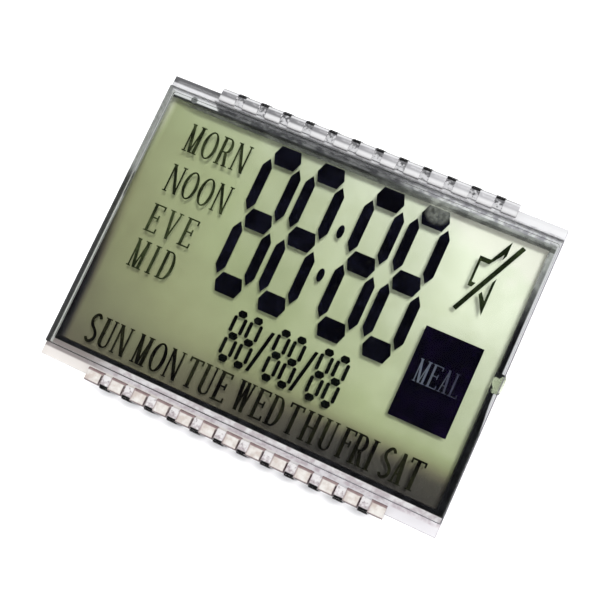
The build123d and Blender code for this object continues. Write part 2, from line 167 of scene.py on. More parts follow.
reflector_material, tree = new_material("pearl_reflector")
point, x, y, z = place(tree)
lowest_row = -13.5
highest_row = 13.5
full_tone = 1.7
# Painted light and shade: the tone rises up the face, most along the top, and to the right
row_tones = (
    (-13.5, 0.46), (-11.0, 0.60), (-7.5, 0.73), (-3.5, 0.92),
    (0.0, 1.02), (5.0, 1.22), (10.0, 1.34), (13.0, 1.62),
)
stops = []
for row, row_tone in row_tones:
    level = row_tone / full_tone
    stops.append(((row - lowest_row) / (highest_row - lowest_row), (level, level, level, 1.0)))
rows = {"Value": y, "From Min": lowest_row, "From Max": highest_row}
along = add_node(tree, "ShaderNodeMapRange", rows).outputs[0]
tone_per_mm = 0.0114
middle_tone = 0.495
across = times(tree, x, tone_per_mm * full_tone)
across = maths(tree, "ADD", across, middle_tone * full_tone)
tone = times(tree, across, ramp(tree, along, stops))
# Painted shade along the lower edge, deepest towards the right.
painted_shade_low = times(tree, rise(tree, y, -7.95, -11.5), rise(tree, x, -21.0, 11.0, 0.0, 0.84))
tone = times(tree, tone, without(tree, painted_shade_low))
mottle = rise(tree, noise(tree, point, 0.35, 4.0), 0.3, 0.7, 0.95, 1.05)
tone = times(tree, tone, mottle)
# Painted shade down the lower left side, and painted light in the upper left corner.
shaded_side = times(tree, rise(tree, x, -19.9, -20.8), rise(tree, y, 6.0, -9.0, 0.0, 0.8))
tone = times(tree, tone, without(tree, shaded_side))
painted_light_corner = times(tree, rise(tree, x, -20.2, -21.2), rise(tree, y, 4.0, 13.0, 0.0, 0.9))
tone = times(tree, tone, maths(tree, "ADD", 1.0, painted_light_corner))
face_colour = ramp(tree, tone, (
    (0.035, as_lit(58, 55, 59, light_inside)),
    (0.12, as_lit(105, 98, 86, light_inside)),
    (0.28, as_lit(145, 144, 114, light_inside)),
    (0.44, as_lit(170, 174, 139, light_inside)),
    (0.60, as_lit(198, 201, 172, light_inside)),
    (0.92, as_lit(246, 246, 231, light_inside)),
    (1.0, as_lit(256, 250, 243, light_inside)),
))
foil = mix_colours(tree, noise(tree, point, 3.0), paint(178, 180, 184), paint(206, 208, 210))
foil_metal = 0.8
top = rise(tree, upright(tree), -0.2, 0.2)
pearl = noise(tree, point, 14.0, 2.0)
shader = add_node(tree, "ShaderNodeBsdfPrincipled", {
    "Base Color": mix_colours(tree, top, foil, face_colour),
    "Metallic": maths(tree, "SUBTRACT", foil_metal, times(tree, top, foil_metal)),
    "Roughness": rise(tree, pearl, 0.3, 0.7, 0.5, 0.62),
    "Normal": dents(tree, pearl, 0.05, 0.02 * mm),
    "Specular IOR Level": 0.2,
})
finish_material(tree, shader)
dress(["reflector_film"], reflector_material)


# Rear polarizer
# A grey plastic film between the reflector and the rear glass, cut with rounded corners.
# The glue that holds it leaves it clear on its faces and dull at its cut edge.
gap = 0.004 * mm
white = (1.0, 1.0, 1.0, 1.0)


def add_block(name, low, high):
    """A block between two corners, with its place in its mesh."""
    bpy.ops.object.select_all(action="DESELECT")
    bpy.ops.mesh.primitive_cube_add(size=1, location=(low + high) / 2, scale=high - low)
    bpy.ops.object.transform_apply(location=True, rotation=True, scale=True)
    piece = bpy.context.object
    piece.name = name
    return piece


def edit_edges(piece, wanted):
    """Goes into edit mode with only the wanted edges selected."""
    bpy.context.tool_settings.mesh_select_mode = (False, True, False)
    mesh = piece.data
    for part in (*mesh.vertices, *mesh.polygons):
        part.select = False
    for edge in mesh.edges:
        first, second = (mesh.vertices[i].co for i in edge.vertices)
        edge.select = wanted(first, second)
    bpy.ops.object.mode_set(mode="EDIT")


def is_upright(first, second):
    return abs(first.z - second.z) > max(abs(first.x - second.x), abs(first.y - second.y))


def finish_with(piece, kind, **settings):
    modifier = piece.modifiers.new(kind, kind)
    for name, value in settings.items():
        setattr(modifier, name, value)
    bpy.ops.object.modifier_apply(modifier=modifier.name)


def settle(piece, slot, *replaced):
    """Puts a finished piece on the cell and hides the solids that it stands for; its slot is not
    used.
    """
    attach(piece, "root")
    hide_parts(*replaced)


def cut_film(name, material, corner, edge):
    """The film that its solid stands for, a hair clear of what it lies on."""
    low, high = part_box(name)
    inward = Vector((0, 0, gap))
    film = add_block(name + "_sheet", low + inward, high - inward)
    edit_edges(film, is_upright)
    bpy.ops.mesh.bevel(offset=corner, segments=6)
    bpy.ops.object.mode_set(mode="OBJECT")
    finish_with(film, "BEVEL", width=edge, segments=2, limit_method="ANGLE")
    bpy.ops.object.shade_smooth_by_angle(angle=radians(20))
    wear(film, material)
    return film


def either(tree, first, second):
    """Where one mask shows or the other."""
    return maths(tree, "MAXIMUM", first, second)


def unsigned(tree, value):
    return maths(tree, "ABSOLUTE", value)


def distance(tree, point, spot):
    inputs = {0: point, 1: spot}
    return add_node(tree, "ShaderNodeVectorMath", inputs, operation="DISTANCE").outputs["Value"]


def laid_over(tree, share, under, over):
    """Two shaders as one, with the second one's share."""
    inputs = {0: share, 1: under.outputs[0], 2: over.outputs[0]}
    return add_node(tree, "ShaderNodeMixShader", inputs)


def seen_through(tree, colour):
    return add_node(tree, "ShaderNodeBsdfTransparent", {"Color": colour})


def mirror_share(tree, index, **inputs):
    """How much the outside of a surface reflects, and nothing for its inside."""
    fresnel = add_node(tree, "ShaderNodeFresnel", {"IOR": index, **inputs}).outputs[0]
    inside = add_node(tree, "ShaderNodeNewGeometry", {}).outputs["Backfacing"]
    return times(tree, fresnel, without(tree, inside))


def clear_film(name, clear, rim_colour, gloss_index, haze_and_painted_light, painted_glare_at=None):
    """A film that is seen through on its faces, with a dull cut rim."""
    material, tree = new_material(name)
    point, x, y, z = place(tree)
    facing = upright(tree)
    rim = rise(tree, unsigned(tree, facing), 0.97, 0.75)
    dust_and_glare = rise(tree, noise(tree, point, 2.2, 6.0), 0.62, 0.8, 0.0, haze_and_painted_light)
    # Where a spot is given, a painted glare joins the dust: a painted reflection as a hazy
    # patch.
    if painted_glare_at:
        cloud = rise(tree, noise(tree, point, 2.0, 5.0), 0.35, 0.65, 0.04, 0.14)
        near_glare = rise(tree, distance(tree, point, painted_glare_at), 1.6, 0.8)
        dust_and_glare = either(tree, dust_and_glare, times(tree, cloud, near_glare))
    dull = add_node(tree, "ShaderNodeBsdfDiffuse", {
        "Color": mix_colours(tree, rim, as_lit(232, 238, 224), as_lit(*rim_colour)),
        "Roughness": 0.6,
    })
    cover = either(tree, times(tree, rim, 0.7), dust_and_glare)
    body = laid_over(tree, cover, seen_through(tree, clear), dull)
    shine = add_node(tree, "ShaderNodeBsdfGlossy", {
        "Color": white,
        "Roughness": rise(tree, noise(tree, point, 0.8, 3.0), 0.35, 0.7, 0.03, 0.09),
    })
    share = times(tree, mirror_share(tree, gloss_index), rise(tree, facing, 0.95, 0.99))
    finish_material(tree, laid_over(tree, share, body, shine))
    return material


film_corner = 0.3 * mm
film_edge = 0.03 * mm
rear_film_material = clear_film(
    "grey_film", clear=white, rim_colour=(96, 98, 100), gloss_index=1.01, haze_and_painted_light=0.01
)
rear_film = cut_film("rear_polarizer", rear_film_material, film_corner, film_edge)
settle(rear_film, "polarizer", "rear_polarizer")


# Glass sheets
# Two sheets of float glass, broken to size and ground lightly along the edges. The ground
# edges carry painted light and shade: grey or black where hardly any light leaves the
# sheet, paler towards other corners. The faces are clear. On its bare ledges and past the
# seal the rear one carries painted light laid on as a haze, with painted shade at the
# upper left, and behind the block it carries painted shade that shows through the word.
rear_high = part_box("rear_glass")[1]
front_low, front_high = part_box("front_glass")
film_low, film_high = (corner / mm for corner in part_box("front_polarizer"))
seal_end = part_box("perimeter_seal")[1].x / mm
block_low, block_high = (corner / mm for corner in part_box("meal_block"))
ledge_top = rear_high.z / mm
ledge_start = front_high.y / mm
# Painted light along the right side, where light comes in past the seal.
side_light = as_lit(236, 234, 240)


def over_sheet(tree, x, y, lower_left, lower_right, upper_left, upper_right):
    """A colour that changes over the whole sheet, from corner to corner."""
    to_right = rise(tree, x, -2.0, 12.0)
    lower = mix_colours(tree, to_right, as_lit(*lower_left), as_lit(*lower_right))
    upper = mix_colours(tree, to_right, as_lit(*upper_left), as_lit(*upper_right))
    return mix_colours(tree, rise(tree, y, 3.6, 6.0), lower, upper)


margin = bpy.data.node_groups.new("bare_margin", "ShaderNodeTree")
margin.interface.new_socket("Mottle", in_out="INPUT", socket_type="NodeSocketFloat")
margin.interface.new_socket("Colour", in_out="OUTPUT", socket_type="NodeSocketColor")
given = margin.nodes.new("NodeGroupInput")
point, x, y, z = place(margin)
cloud = rise(margin, noise(margin, point, given.outputs["Mottle"], 5.0), 0.36, 0.64)
# Painted reflection as a grey band at the upper left; paler right, darker lower left.
grey = mix_colours(margin, cloud, as_lit(72, 72, 76), as_lit(126, 126, 128))
pale = mix_colours(margin, cloud, as_lit(166, 164, 172), as_lit(238, 238, 240))
slant = times(margin, maths(margin, "SUBTRACT", y, 13.95), 0.9)
slant = maths(margin, "ADD", x, slant)
upper = mix_colours(margin, rise(margin, slant, -15.75, -15.5), as_lit(236, 236, 238), grey)
upper = mix_colours(margin, rise(margin, x, 3.0, 10.0), upper, pale)
lower_pale = mix_colours(margin, cloud, as_lit(216, 204, 210), as_lit(255, 250, 254))
lower = mix_colours(margin, rise(margin, x, -17.5, -12.0), as_lit(158, 148, 146), lower_pale)
colour = mix_colours(margin, rise(margin, y, -2.0, 2.0), lower, upper)
add_node(margin, "NodeGroupOutput", {"Colour": colour})


def margin_colour(tree, mottle=1.6):
    """The colour of the rim of the display that no film covers, with painted light and shade."""
    made = tree.nodes.new("ShaderNodeGroup")
    made.node_tree = margin
    made.inputs["Mottle"].default_value = mottle
    return made.outputs["Colour"]


def within(tree, value, low, high):
    """1 between low and high, a little clear of both."""
    away = unsigned(tree, maths(tree, "SUBTRACT", value, (low + high) / 2))
    return rise(tree, away, (high - low) / 2 - 0.1, (high - low) / 2 - 0.3)


def lit_side(tree, x, y):
    """1 along the right side, where the light that comes in past the seal is painted on."""
    line = rise(tree, y, -9.5, -1.0, 21.45, 20.9)
    return rise(tree, maths(tree, "SUBTRACT", x, line), 0.0, 0.14)


def sheet_glass(name, painted_rim_corners, painted_light_share):
    """Clear glass with a ground rim in painted light and shade, and a haze of painted light on
    its face, in the share that is given.
    """
    material, tree = new_material(name)
    point, x, y, z = place(tree)
    facing = upright(tree)
    from_middle = unsigned(tree, y)

    # The haze of painted light: bare ledges, the strip by the film and past the seal,
    # and painted shade behind the block
    free = over_sheet(
        tree, x, y, (252, 245, 239), (249, 246, 250), (240, 240, 242), (251, 251, 252)
    )
    outer_strip = rise(tree, y, ledge_start + 0.56, ledge_start + 0.76)
    # Painted shade on the outer strip of the upper left ledge.
    shaded = times(tree, outer_strip, rise(tree, x, -15.7, -16.2))
    free = mix_colours(tree, shaded, free, as_lit(104, 104, 106))
    near_film = rise(tree, from_middle, ledge_start + 0.5, ledge_start + 0.3)
    painted_light_colour = mix_colours(tree, near_film, free, margin_colour(tree))
    past_seal = rise(tree, x, seal_end - 0.12, seal_end - 0.04)
    on_right = times(tree, past_seal, rise(tree, from_middle, ledge_start, ledge_start - 0.2))
    right_tone = mix_colours(tree, lit_side(tree, x, y), as_lit(4, 4, 8), side_light)
    painted_light_colour = mix_colours(tree, on_right, painted_light_colour, right_tone)
    # Painted shade under the block, seen only through its word, darker to the right.
    in_width = within(tree, x, block_low.x, block_high.x)
    on_block = times(tree, in_width, within(tree, y, block_low.y, block_high.y))
    fading = rise(tree, x, 13.8, 17.6)
    painted_block_shade = mix_colours(tree, fading, as_lit(104, 108, 128), as_lit(62, 60, 82))
    painted_light_colour = mix_colours(tree, on_block, painted_light_colour, painted_block_shade)
    haze_and_painted_light = add_node(tree, "ShaderNodeBsdfDiffuse", {"Color": painted_light_colour, "Roughness": 0.3})

    # It lies on top of the rear sheet only
    upper_face = rise(tree, z, ledge_top - 0.1, ledge_top - 0.05)
    upper_face = times(tree, rise(tree, facing, 0.5, 0.9, 0.0, painted_light_share), upper_face)
    on_ledge = rise(tree, from_middle, ledge_start - 0.2, ledge_start - 0.1)
    painted_light_areas = either(tree, on_ledge, either(tree, on_right, on_block))
    see = seen_through(tree, (0.985, 0.99, 0.985, 1.0))
    face = laid_over(tree, times(tree, painted_light_areas, upper_face), see, haze_and_painted_light)

    # The ground rim, which light rays mostly pass so that it throws no black line inside
    # Its colour is painted light and shade from corner to corner, with streaks at random.
    full = over_sheet(tree, x, y, *painted_rim_corners)
    far_rim = times(
        tree,
        rise(tree, y, ledge_start - 0.2, ledge_start - 0.1),
        rise(tree, y, ledge_start + 0.2, ledge_start + 0.1),
    )
    far_tone = mix_colours(tree, 0.6, margin_colour(tree), as_lit(124, 124, 126))
    full = mix_colours(tree, far_rim, full, far_tone)
    streak = noise(tree, point, 3.0, 5.0)
    streaked_painted_rim = mix_colours(tree, rise(tree, streak, 0.4, 0.7, 0.0, 0.35), full, as_lit(92, 96, 96))
    ground = add_node(tree, "ShaderNodeBsdfPrincipled", {
        "Base Color": streaked_painted_rim,
        "Roughness": rise(tree, streak, 0.3, 0.7, 0.3, 0.5),
        "Specular IOR Level": 0.15,
    })
    light_only = add_node(tree, "ShaderNodeLightPath", {}).outputs["Is Shadow Ray"]
    closed = maths(tree, "SUBTRACT", 0.97, times(tree, light_only, 0.85))
    rim = rise(tree, unsigned(tree, facing), 0.95, 0.6)
    body = laid_over(tree, times(tree, rim, closed), face, ground)

    # The gloss shows on top, where no film covers the glass
    shine = add_node(tree, "ShaderNodeBsdfGlossy", {"Color": white, "Roughness": 0.03})
    past_left = rise(tree, x, film_low.x - 0.02, film_low.x - 0.06)
    past_rows = rise(tree, from_middle, film_high.y + 0.02, film_high.y + 0.06)
    share = times(tree, mirror_share(tree, 1.5), either(tree, past_left, past_rows))
    share = times(tree, share, rise(tree, facing, 0.85, 0.97))
    finish_material(tree, laid_over(tree, share, body, shine))
    return material


# Rim colours as painted light and shade: lower left, lower right, upper left, upper right.
rear_rim_painted_light = ((244, 242, 238), (208, 205, 208), (122, 122, 124), (206, 206, 209))
front_rim_painted_light = ((6, 7, 9), (120, 118, 124), (190, 192, 190), (150, 150, 156))
dress(["rear_glass"], sheet_glass("rear_sheet_glass", rear_rim_painted_light, painted_light_share=0.92))
lift = Vector((0, 0, gap))
chamfer = 0.08 * mm
front_sheet = add_block("front_glass_sheet", front_low + lift, front_high - lift)
finish_with(front_sheet, "BEVEL", width=chamfer, segments=1, limit_method="ANGLE")
wear(front_sheet, sheet_glass("front_sheet_glass", front_rim_painted_light, painted_light_share=0.0))
settle(front_sheet, "sheet_glass", "front_glass")


# Perimeter seal and transfer dot
# A printed line of epoxy glues the sheets together and keeps the crystal in. There is
# no crystal over it to turn the light, so it is black where the front film covers it,
# with painted light on it towards the upper right and along the right side, and pale
# where the film stops short. The dot is the same glue loaded with silver.
seal_material, tree = new_material("printed_seal")
point, x, y, z = place(tree)
from_middle = unsigned(tree, y)
past_left = rise(tree, x, film_low.x - 0.38, film_low.x - 0.48)
past_rows = rise(tree, from_middle, film_high.y - 0.02, film_high.y + 0.06)
past_film = either(tree, past_left, past_rows)
# Where the line shows at all
left_side = times(tree, rise(tree, x, -19.95, -20.75), rise(tree, y, 3.0, -9.0, 0.1, 0.9))
right_side = rise(tree, x, 20.32, 20.62)
lower_side = rise(tree, y, -13.26, -13.42)
upper_line = rise(tree, y, 13.5, 13.66)
upper_band = times(tree, rise(tree, y, 13.1, 13.22), rise(tree, x, -20.2, -17.0, 0.0, 0.66))
cover = either(tree, left_side, right_side)
cover = either(tree, cover, lower_side)
cover = either(tree, cover, either(tree, upper_line, upper_band))
cover = either(tree, cover, past_film)

# Its colour under the film, and past it
wash = rise(tree, noise(tree, point, 0.9, 4.0), 0.35, 0.65)
# Painted light on the seal towards the upper right, where its black turns pale grey.
lit_upper_right = times(tree, rise(tree, y, 5.0, 12.5), rise(tree, x, 1.0, 10.0))
black = mix_colours(tree, wash, as_lit(8, 8, 12), as_lit(30, 30, 34))
lit_grey = mix_colours(tree, wash, as_lit(140, 142, 142), as_lit(196, 198, 196))
covered = mix_colours(tree, lit_upper_right, black, lit_grey)
soft_band = mix_colours(tree, wash, as_lit(74, 76, 74), as_lit(108, 110, 106))
upper_tone = mix_colours(tree, 0.3, covered, soft_band)
covered = mix_colours(tree, rise(tree, y, 13.62, 13.5), upper_tone, covered)
on_band = times(tree, rise(tree, y, 13.0, 13.1), rise(tree, y, 13.56, 13.44))
covered = mix_colours(tree, on_band, covered, soft_band)
# Painted light on the seal along the right side.
side_lit = times(tree, right_side, lit_side(tree, x, y))
covered = mix_colours(tree, side_lit, covered, side_light)
# The light line is darker for a few millimetres around 3.5 mm up.
darker_stretch = rise(tree, unsigned(tree, maths(tree, "SUBTRACT", y, 3.5)), 1.7, 1.0)
light_line = mix_colours(tree, darker_stretch, as_lit(204, 206, 202), as_lit(92, 94, 82))
bare = mix_colours(tree, past_left, margin_colour(tree), light_line)
glue = add_node(tree, "ShaderNodeBsdfPrincipled", {
    "Base Color": mix_colours(tree, past_film, covered, bare),
    "Roughness": rise(tree, wash, 0.0, 1.0, 0.45, 0.6),
    "Specular IOR Level": 0.1,
})
see = seen_through(tree, (0.99, 0.99, 0.98, 1.0))
finish_material(tree, laid_over(tree, cover, see, glue))
dress(["perimeter_seal"], seal_material)

dot_material, tree = new_material("silver_glue")
point, x, y, z = place(tree)
speck = noise(tree, point, 9.0, 4.0)
flakes = rise(tree, speck, 0.35, 0.65)
shader = add_node(tree, "ShaderNodeBsdfPrincipled", {
    "Base Color": mix_colours(tree, flakes, as_lit(88, 90, 90), as_lit(140, 142, 142)),
    "Metallic": 0.1,
    "Roughness": rise(tree, speck, 0.3, 0.7, 0.4, 0.7),
})
finish_material(tree, shader)
dress(["transfer_dot"], dot_material)


# Liquid crystal
# The crystal fills the cell from seal to seal and over the segments. It is a clear
# fluid, and all that shows of it is the light that it lets through.
crystal_material, tree = new_material("liquid_crystal")
point, x, y, z = place(tree)
thickness = noise(tree, point, 0.2, 2.0)
tint = mix_colours(tree, thickness, (0.99, 1.0, 0.985, 1.0), (0.995, 1.0, 0.995, 1.0))
finish_material(tree, seen_through(tree, tint))
crystal = cut_film(
    "liquid_crystal_film", crystal_material, corner=0.8 * mm, edge=0.005 * mm
)
settle(crystal, "liquid_crystal", "liquid_crystal_film")


# Segments
# Where an electrode on the rear glass faces one on the front glass, the crystal stops
# turning the light and the shape goes dark: a blue black in the large shapes and a
# green black in the thin ones, a little uneven where the glass bows.
def dark_segment(name, deep, lighter):
    material, tree = new_material(name)
    point, x, y, z = place(tree)
    cloud = rise(tree, noise(tree, point, 0.5, 4.0), 0.35, 0.7)
    shader = add_node(tree, "ShaderNodeBsdfPrincipled", {
        "Base Color": mix_colours(tree, cloud, as_lit(*deep), as_lit(*lighter)),
        "Roughness": rise(tree, cloud, 0.0, 1.0, 0.45, 0.6),
        "Specular IOR Level": 0.0,
    })
    finish_material(tree, shader)
    return material


large_figures = [name for name in nodes if name.endswith("_digit")]
small_figures = [name for name in nodes if name.endswith("_figures")]
weekdays = [name for name in nodes if name.endswith("day_legend")]
day_times = [name for name in nodes if name.endswith("_legend") and name not in weekdays]
dress(large_figures + ["time_colon"], dark_segment("large_segment", (4, 4, 14), (20, 20, 32)))
dress(small_figures + ["date_slashes"], dark_segment("date_segment", (2, 4, 6), (18, 22, 18)))
dress(day_times, dark_segment("day_time_segment", (34, 38, 24), (62, 68, 46)))
dress(weekdays, dark_segment("weekday_segment", (12, 10, 8), (40, 40, 28)))
dress(["meal_block"], dark_segment("block_segment", (3, 0, 18), (18, 10, 34)))
dress(["mute_symbol"], dark_segment("mute_segment", (32, 38, 24), (56, 64, 42)))


# End seal
# The cell is filled through a port in the right edge of the seal. A drop of clear resin
# is then wiped over the port: a little is drawn in, and a flat dab cures on the edges
# of both sheets.
plug_low, plug_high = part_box("end_seal_plug")
plug_middle = (plug_low + plug_high) / 2
edge_x = front_high.x
bpy.ops.object.select_all(action="DESELECT")
bpy.ops.mesh.primitive_uv_sphere_add(
    segments=48, ring_count=24, radius=1,
    location=(edge_x, plug_middle.y, plug_middle.z),
    scale=(plug_high.x - edge_x, (plug_high.y - plug_low.y) / 2, (plug_high.z - plug_low.z) / 2),
)
bpy.ops.object.transform_apply(location=True, rotation=True, scale=True)
dab = bpy.context.object
bpy.ops.object.mode_set(mode="EDIT")
bpy.ops.mesh.select_all(action="SELECT")
bpy.ops.mesh.bisect(
    plane_co=(edge_x, 0, 0), plane_no=(1, 0, 0),
    use_fill=True, clear_inner=True, threshold=mm / 1000,
)
bpy.ops.object.mode_set(mode="OBJECT")
port_low = Vector((plug_low.x, plug_low.y, rear_high.z + gap))
port_high = Vector((edge_x + gap, plug_high.y, front_low.z - gap))
port_fill = add_block("port_fill", port_low, port_high)
finish_with(port_fill, "BEVEL", width=0.02 * mm, segments=2, limit_method="ANGLE")
dab.select_set(True)
bpy.context.view_layer.objects.active = dab
bpy.ops.object.join()
dab.name = "end_seal_dab"
bpy.ops.object.shade_smooth_by_angle(angle=radians(50))

dab_material, tree = new_material("cured_drop")
point, x, y, z = place(tree)
ripple = noise(tree, point, 4.0, 3.0)
port = (seal_end + 0.05, plug_middle.y / mm - 0.15, ledge_top)
ragged = rise(tree, noise(tree, point, 1.6, 3.0), 0.3, 0.7, -0.25, 0.25)
away = maths(tree, "ADD", distance(tree, point, port), ragged)
drawn_in = rise(tree, away, 0.95, 0.7)
pale_resin = mix_colours(tree, ripple, as_lit(232, 240, 214), as_lit(196, 208, 172))
resin_body = add_node(tree, "ShaderNodeBsdfPrincipled", {
    "Base Color": mix_colours(tree, drawn_in, as_lit(14, 16, 18), pale_resin),
    "Roughness": 0.18,
    "Normal": dents(tree, ripple, 0.2, 0.05 * mm),
    "Coat Weight": times(tree, drawn_in, 0.4),
})
see = seen_through(tree, (0.96, 0.97, 0.92, 1.0))
finish_material(tree, laid_over(tree, rise(tree, away, 0.55, 0.9, 0.4, 0.95), see, resin_body))
wear(dab, dab_material)
settle(dab, "end_seal", "end_seal_plug")


# Front polarizer
# The film that the user sees, rolled onto the front glass a little short of its edges.
# Its hard coat gives a soft gloss, with faint wipe marks and a few specks of dust, and one
# painted glare near the top, a painted reflection laid on as a hazy patch. Its cut edge
# shows as a thin grey line.
film_tint = (0.99, 0.995, 0.985, 1.0)
front_film_material = clear_film(
    "front_film", clear=film_tint, rim_colour=(70, 74, 70), gloss_index=1.24, haze_and_painted_light=0.02,
    painted_glare_at=(9.5, 12.5, film_high.z),
)
front_film = cut_film("front_polarizer", front_film_material, film_corner, film_edge)
settle(front_film, "polarizer", "front_polarizer")


# Pins
# Each pin is stamped from tinned spring strip, folded into a fork and pushed over the
# edge of the rear glass. The tin is finely rolled on top of the prong, bright on the lower
# row as a painted lit copy with a painted highlight, and the outer bend is painted black
# as a painted dark reflection.
pin_material, tree = new_material("tinned_strip")
point, x, y, z = place(tree)
grain = noise(tree, point, 2.2, 6.0)
speckle = noise(tree, point, 3.2, 6.0)
far = unsigned(tree, y)
# The outer bend is painted black, a painted dark reflection of the surroundings.
bend = times(tree, rise(tree, far, 15.98, 16.06), rise(tree, z, 3.9, 4.4))
# Speckle, brighter towards the glass and darker towards the bend.
spots_to_bend = maths(tree, "ADD", speckle, rise(tree, far, 15.25, 15.95, 0.1, -0.1))
dull_spots = rise(tree, spots_to_bend, 0.38, 0.62)
dimmer_tin = mix_colours(tree, dull_spots, as_lit(124, 124, 126), as_lit(258, 258, 259))
# The lower row's prongs are a painted lit copy, with a painted highlight past white.
bright_spots = rise(tree, spots_to_bend, 0.35, 0.6)
painted_lit_tin = mix_colours(tree, bright_spots, as_lit(230, 219, 221), as_lit(292, 289, 288))
prong_tin = mix_colours(tree, rise(tree, y, -2.0, 2.0), painted_lit_tin, dimmer_tin)
down_the_leg = {"Vector": point, "Scale": (1.0, 1.0, 0.15)}
drawn = add_node(tree, "ShaderNodeMapping", down_the_leg).outputs[0]
drawn_marks = noise(tree, drawn, 6.0, 4.0)
plain_tin = mix_colours(tree, drawn_marks, as_lit(150, 150, 152), as_lit(212, 212, 214))
on_prong = rise(tree, z, 4.6, 4.9)
tin = mix_colours(tree, on_prong, plain_tin, prong_tin)
dark_reflection_at_bend = mix_colours(tree, grain, as_lit(3, 3, 3), as_lit(24, 23, 23))
rolled = rise(tree, speckle, 0.3, 0.7, 0.25, 0.45)
shader = add_node(tree, "ShaderNodeBsdfPrincipled", {
    "Base Color": mix_colours(tree, bend, tin, dark_reflection_at_bend),
    "Metallic": either(tree, bend, rise(tree, on_prong, 0.0, 1.0, 0.7, 0.3)),
    "Roughness": maths(tree, "ADD", rolled, times(tree, bend, 0.25)),
    "Normal": dents(tree, speckle, 0.15, 0.06 * mm),
})
finish_material(tree, shader)
upper_pins = sorted(name for name in nodes if name.startswith("upper_pin_"))
lower_pins = sorted(name for name in nodes if name.startswith("lower_pin_"))
dress(upper_pins + lower_pins, pin_material)


# Resin beads
# A bead of clear resin locks each row of pins to the glass. It is dispensed along the
# row, so it stands up in a rounded pillow between each two pins and sinks thin over
# the prongs, and it runs down outside the edge of the glass.
bead_low, bead_high = (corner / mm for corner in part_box("upper_resin_bead"))
pin_xs = [sum(corner.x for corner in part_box(name)) / 2 / mm for name in upper_pins]
glass_side = rear_high.y / mm
clear = 0.02
dip_half = 0.45
dip_top = ledge_top + 0.28
crown = bead_high.z - clear
inner_y = bead_low.y + 2 * clear
outer_y = bead_high.y - clear


def edit_faces(piece, wanted):
    """Goes into edit mode with only the wanted faces selected."""
    bpy.context.tool_settings.mesh_select_mode = (False, False, True)
    mesh = piece.data
    for part in (*mesh.vertices, *mesh.edges):
        part.select = False
    for face in mesh.polygons:
        face.select = wanted(face.center, face.normal)
    bpy.ops.object.mode_set(mode="EDIT")


def over_pin(x):
    return min(abs(x - pin_x) for pin_x in pin_xs) < dip_half


# It is shaped in millimetres, and brought to metres when it is done.
upper_bead = add_block(
    "upper_resin_pillows",
    Vector((bead_low.x, inner_y, ledge_top + clear)),
    Vector((bead_high.x, outer_y, dip_top)),
)
cuts = [((x + side * dip_half, 0, 0), (1, 0, 0)) for x in pin_xs for side in (-1, 1)]
cuts.append(((0, glass_side + clear, 0), (0, 1, 0)))
bpy.ops.object.mode_set(mode="EDIT")
for cut_at, cut_facing in cuts:
    bpy.ops.mesh.select_all(action="SELECT")
    bpy.ops.mesh.bisect(plane_co=cut_at, plane_no=cut_facing)
bpy.ops.object.mode_set(mode="OBJECT")

edit_faces(upper_bead, lambda middle, normal: normal.z > 0.9 and not over_pin(middle.x))
bpy.ops.mesh.extrude_region_move(TRANSFORM_OT_translate={"value": (0, 0, crown - dip_top)})
bpy.ops.object.mode_set(mode="OBJECT")
edit_faces(upper_bead, lambda middle, normal: normal.z < -0.9 and middle.y > glass_side)
run_down = bead_low.z - ledge_top
bpy.ops.mesh.extrude_region_move(TRANSFORM_OT_translate={"value": (0, 0, run_down)})
bpy.ops.object.mode_set(mode="OBJECT")


def along_crown(first, second, rolled_y):
    """Whether an edge runs along the top of the pillows at this distance out."""
    off_line = abs(first.y - rolled_y) + abs(second.y - rolled_y)
    return min(first.z, second.z) > crown - 0.001 and off_line < 0.001


for rolled_y, roll_off in ((outer_y, 0.34), (inner_y, 0.2)):
    edit_edges(upper_bead, lambda first, second: along_crown(first, second, rolled_y))
    bpy.ops.mesh.bevel(offset=roll_off, segments=4)
    bpy.ops.object.mode_set(mode="OBJECT")
finish_with(
    upper_bead, "BEVEL", width=0.07, segments=3, limit_method="ANGLE", angle_limit=radians(40)
)
upper_bead.scale = (mm, mm, mm)
bpy.ops.object.transform_apply(scale=True)
bpy.ops.object.shade_smooth_by_angle(angle=radians(50))

bpy.ops.object.select_all(action="DESELECT")
upper_bead.select_set(True)
bpy.context.view_layer.objects.active = upper_bead
bpy.ops.object.duplicate()
lower_bead = bpy.context.object
lower_bead.name = "lower_resin_pillows"
lower_bead.scale = (1, -1, 1)
bpy.ops.object.transform_apply(scale=True)
bpy.ops.object.mode_set(mode="EDIT")
bpy.ops.mesh.select_all(action="SELECT")
bpy.ops.mesh.normals_make_consistent(inside=False)
bpy.ops.object.mode_set(mode="OBJECT")

resin_material, tree = new_material("clear_resin")
point, x, y, z = place(tree)
ripple = noise(tree, point, 1.3, 3.0)
wavy = dents(tree, ripple, 0.3, 0.2 * mm)
lower_row = rise(tree, y, 2.0, -2.0)
far = unsigned(tree, y)
# How far along the row a point is from the nearest prong
pitch = pin_xs[1] - pin_xs[0]
held = maths(tree, "MAXIMUM", x, pin_xs[0] - 1.2)
held = maths(tree, "MINIMUM", held, pin_xs[-1] + 1.2)
from_first = maths(tree, "SUBTRACT", held, pin_xs[0])
beside = maths(tree, "WRAP", from_first, pitch / 2, -pitch / 2)
from_prong = unsigned(tree, beside)
over_prong = rise(tree, from_prong, dip_half + 0.06, dip_half - 0.02)

